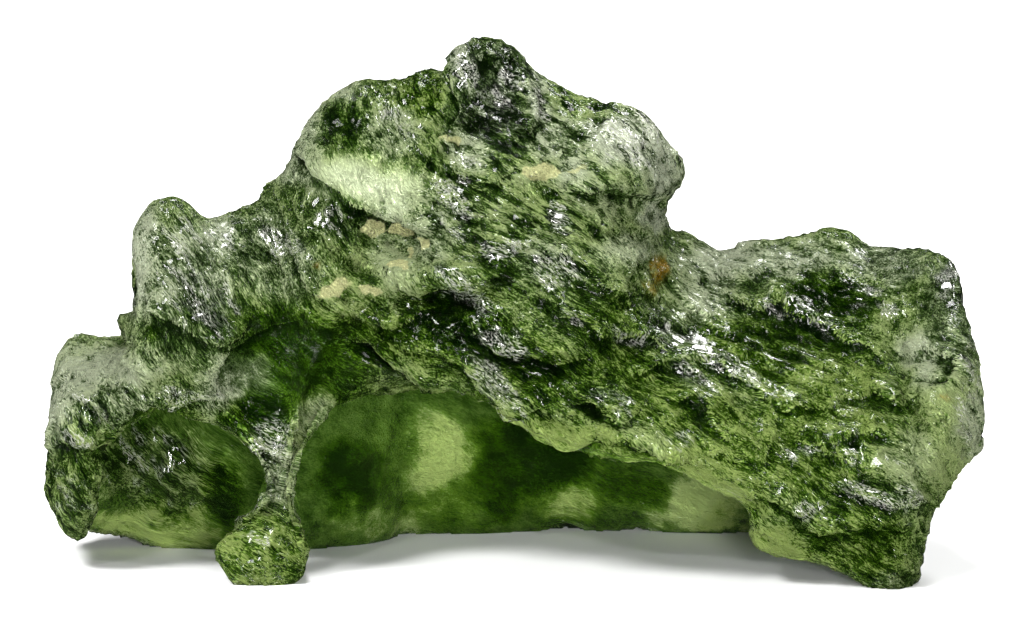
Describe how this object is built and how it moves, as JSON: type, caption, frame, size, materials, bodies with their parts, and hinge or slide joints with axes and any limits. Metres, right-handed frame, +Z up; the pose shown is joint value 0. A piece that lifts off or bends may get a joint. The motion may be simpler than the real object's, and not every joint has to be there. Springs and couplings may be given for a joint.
{
  "type": "moldavite",
  "caption": "Rough moldavite: a sculpted piece of natural green glass that arches over a hollow, with a pillar between two front arches.",
  "frame": {"origin": "centre of the bounding box at its base, on the surface the stone rests on", "axes": "+X along the stone to the viewer's right, +Y from its arched front to its closed back, +Z up"},
  "size_m": [0.034, 0.0158, 0.0192],
  "materials": {
    "moldavite_glass": "etched natural glass, glossy ridges over a finely pitted green skin"
  },
  "bodies": {
    "root": {"moldavite": "moldavite_glass"}
  },
  "joints": []
}
